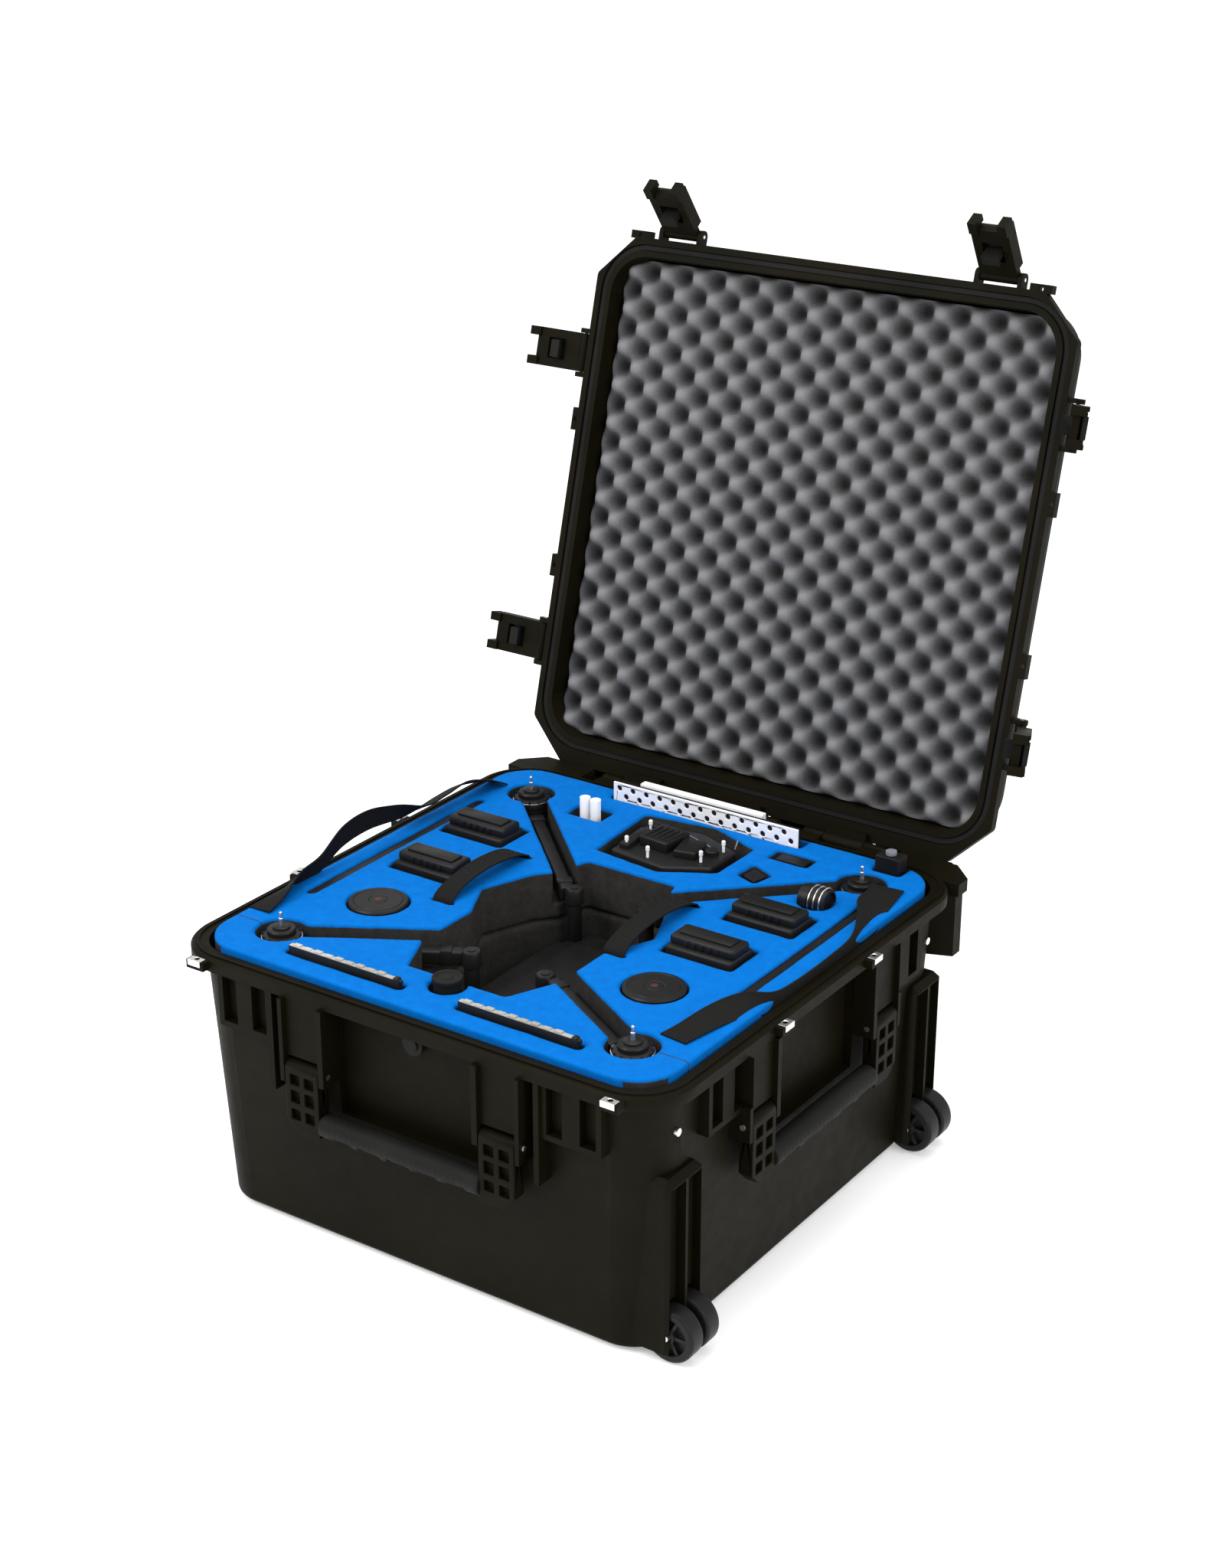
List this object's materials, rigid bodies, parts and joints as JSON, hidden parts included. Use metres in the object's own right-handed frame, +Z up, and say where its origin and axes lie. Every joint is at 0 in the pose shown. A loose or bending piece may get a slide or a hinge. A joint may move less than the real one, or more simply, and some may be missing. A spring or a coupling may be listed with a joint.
{
  "type": "drone carrying case",
  "caption": "Square wheeled hard case with lid swung open, trigger latches, bail handles, egg-crate lid foam and a cut foam tray holding a folded quadcopter.",
  "frame": {"origin": "centre of the pad under the base, on the ground", "axes": "+Z up, +X to the right along the front face, +Y to the back where the lid is hinged"},
  "size_m": [0.7332, 0.8454, 0.9595],
  "materials": {
    "black_shell": "fine grained matte",
    "trigger_plastic": "satin",
    "steel": "bright",
    "rubber": "ribbed matte",
    "wheel_rubber": "satin",
    "blue_foam": "closed cell foam",
    "dark_foam": "closed cell foam",
    "grey_foam": "convoluted open cell foam",
    "webbing": "woven strap",
    "kit_black": "satin",
    "kit_red": "gloss",
    "blade_grey": "satin",
    "kit_white": "gloss",
    "knob_grey": "satin"
  },
  "bodies": {
    "base": {"base_shell": "black_shell", "padlock_plates": "steel", "hinge_pins": "steel", "wheel_axles": "steel", "handle_pins": "steel", "pressure_valve": "trigger_plastic", "side_rivets": "steel", "foam_tray": "blue_foam", "foam_base": "dark_foam", "webbing_loops": "webbing", "webbing_right": "webbing", "webbing_left": "webbing", "drone_body": "kit_black", "drone_posts": "kit_black", "drone_arms": "kit_black", "drone_motors": "kit_black", "drone_motor_caps": "steel", "round_cases": "kit_black", "round_case_buttons": "kit_red", "batteries": "kit_black", "side_bars": "kit_black", "propeller_blades": "blade_grey", "front_knob": "rubber", "controller_body": "kit_black", "controller_sticks": "kit_white", "vented_charger": "kit_white", "charger_backing": "kit_black", "charger_plate": "kit_white", "white_caps": "kit_white", "lens_barrel": "kit_black", "spare_boxes": "kit_black", "corner_knob": "knob_grey"},
    "lid": {"lid_shell": "black_shell", "lid_gasket": "rubber", "lid_foam": "grey_foam", "latch_pins": "steel"},
    "latch_front_left": {"latch_front_left": "black_shell"},
    "latch_trigger_front_left": {"latch_trigger_front_left": "trigger_plastic"},
    "latch_front_right": {"latch_front_right": "black_shell"},
    "latch_trigger_front_right": {"latch_trigger_front_right": "trigger_plastic"},
    "latch_right_front": {"latch_right_front": "black_shell"},
    "latch_trigger_right_front": {"latch_trigger_right_front": "trigger_plastic"},
    "latch_right_back": {"latch_right_back": "black_shell"},
    "latch_trigger_right_back": {"latch_trigger_right_back": "trigger_plastic"},
    "latch_left_back": {"latch_left_back": "black_shell"},
    "latch_trigger_left_back": {"latch_trigger_left_back": "trigger_plastic"},
    "latch_left_front": {"latch_left_front": "black_shell"},
    "latch_trigger_left_front": {"latch_trigger_left_front": "trigger_plastic"},
    "handle_front": {"handle_frame_front": "black_shell", "handle_grip_front": "rubber"},
    "handle_right": {"handle_frame_right": "black_shell", "handle_grip_right": "rubber"},
    "handle_left": {"handle_frame_left": "black_shell", "handle_grip_left": "rubber"},
    "wheel_front_outer": {"wheel_front_outer": "wheel_rubber"},
    "wheel_front_inner": {"wheel_front_inner": "wheel_rubber"},
    "wheel_back_inner": {"wheel_back_inner": "wheel_rubber"},
    "wheel_back_outer": {"wheel_back_outer": "wheel_rubber"}
  },
  "joints": [
    {"name": "lid_hinge", "type": "hinge", "parent": "base", "child": "lid", "pos_m": [0, 0.318, 0.288], "axis": [1, 0, 0], "range_deg": [0, 105]},
    {"name": "latch_front_left_pivot", "type": "hinge", "parent": "lid", "child": "latch_front_left", "pos_m": [-0.199, 0.49599, 0.89046], "axis": [-1, 0, 0], "range_deg": [-38, 72]},
    {"name": "latch_trigger_front_left_pivot", "type": "hinge", "parent": "latch_front_left", "child": "latch_trigger_front_left", "pos_m": [-0.199, 0.48834, 0.91224], "axis": [-1, 0, 0], "range_deg": [0, 22], "stiffness_Nm_per_rad": 0.12, "springref_deg": -22.92},
    {"name": "latch_front_right_pivot", "type": "hinge", "parent": "lid", "child": "latch_front_right", "pos_m": [0.199, 0.49599, 0.89046], "axis": [-1, 0, 0], "range_deg": [-45, 65]},
    {"name": "latch_trigger_front_right_pivot", "type": "hinge", "parent": "latch_front_right", "child": "latch_trigger_front_right", "pos_m": [0.199, 0.49106, 0.91301], "axis": [-1, 0, 0], "range_deg": [0, 22], "stiffness_Nm_per_rad": 0.12, "springref_deg": -22.92},
    {"name": "latch_right_front_pivot", "type": "hinge", "parent": "lid", "child": "latch_right_front", "pos_m": [0.31, 0.45976, 0.75523], "axis": [0, 0.2588, 0.9659], "range_deg": [-24, 86]},
    {"name": "latch_trigger_right_front_pivot", "type": "hinge", "parent": "latch_right_front", "child": "latch_trigger_right_front", "pos_m": [0.32534, 0.4431, 0.7597], "axis": [0, 0.2588, 0.9659], "range_deg": [0, 22], "stiffness_Nm_per_rad": 0.12, "springref_deg": -22.92},
    {"name": "latch_right_back_pivot", "type": "hinge", "parent": "lid", "child": "latch_right_back", "pos_m": [0.31, 0.37176, 0.42682], "axis": [0, 0.2588, 0.9659], "range_deg": [-24, 86]},
    {"name": "latch_trigger_right_back_pivot", "type": "hinge", "parent": "latch_right_back", "child": "latch_trigger_right_back", "pos_m": [0.32534, 0.3551, 0.43128], "axis": [0, 0.2588, 0.9659], "range_deg": [0, 22], "stiffness_Nm_per_rad": 0.12, "springref_deg": -22.92},
    {"name": "latch_left_back_pivot", "type": "hinge", "parent": "lid", "child": "latch_left_back", "pos_m": [-0.31, 0.36969, 0.41909], "axis": [0, -0.2588, -0.9659], "range_deg": [-90, 20]},
    {"name": "latch_trigger_left_back_pivot", "type": "hinge", "parent": "latch_left_back", "child": "latch_trigger_left_back", "pos_m": [-0.332, 0.37645, 0.41728], "axis": [0, -0.2588, -0.9659], "range_deg": [0, 22], "stiffness_Nm_per_rad": 0.12, "springref_deg": -22.92},
    {"name": "latch_left_front_pivot", "type": "hinge", "parent": "lid", "child": "latch_left_front", "pos_m": [-0.31, 0.45769, 0.7475], "axis": [0, -0.2588, -0.9659], "range_deg": [-90, 20]},
    {"name": "latch_trigger_left_front_pivot", "type": "hinge", "parent": "latch_left_front", "child": "latch_trigger_left_front", "pos_m": [-0.332, 0.46445, 0.74569], "axis": [0, -0.2588, -0.9659], "range_deg": [0, 22], "stiffness_Nm_per_rad": 0.12, "springref_deg": -22.92},
    {"name": "handle_front_pivot", "type": "hinge", "parent": "base", "child": "handle_front", "pos_m": [0, -0.295, 0.206], "axis": [-1, 0, 0], "range_deg": [0, 95]},
    {"name": "handle_right_pivot", "type": "hinge", "parent": "base", "child": "handle_right", "pos_m": [0.295, 0, 0.206], "axis": [0, -1, 0], "range_deg": [0, 95]},
    {"name": "handle_left_pivot", "type": "hinge", "parent": "base", "child": "handle_left", "pos_m": [-0.295, 0, 0.206], "axis": [0, 1, 0], "range_deg": [0, 95]},
    {"name": "wheel_front_outer_axle", "type": "hinge", "parent": "base", "child": "wheel_front_outer", "pos_m": [0.285, -0.249, 0.03], "axis": [0, 1, 0], "continuous": true},
    {"name": "wheel_front_inner_axle", "type": "hinge", "parent": "base", "child": "wheel_front_inner", "pos_m": [0.285, -0.221, 0.03], "axis": [0, 1, 0], "continuous": true},
    {"name": "wheel_back_inner_axle", "type": "hinge", "parent": "base", "child": "wheel_back_inner", "pos_m": [0.285, 0.221, 0.03], "axis": [0, 1, 0], "continuous": true},
    {"name": "wheel_back_outer_axle", "type": "hinge", "parent": "base", "child": "wheel_back_outer", "pos_m": [0.285, 0.249, 0.03], "axis": [0, 1, 0], "continuous": true}
  ]
}
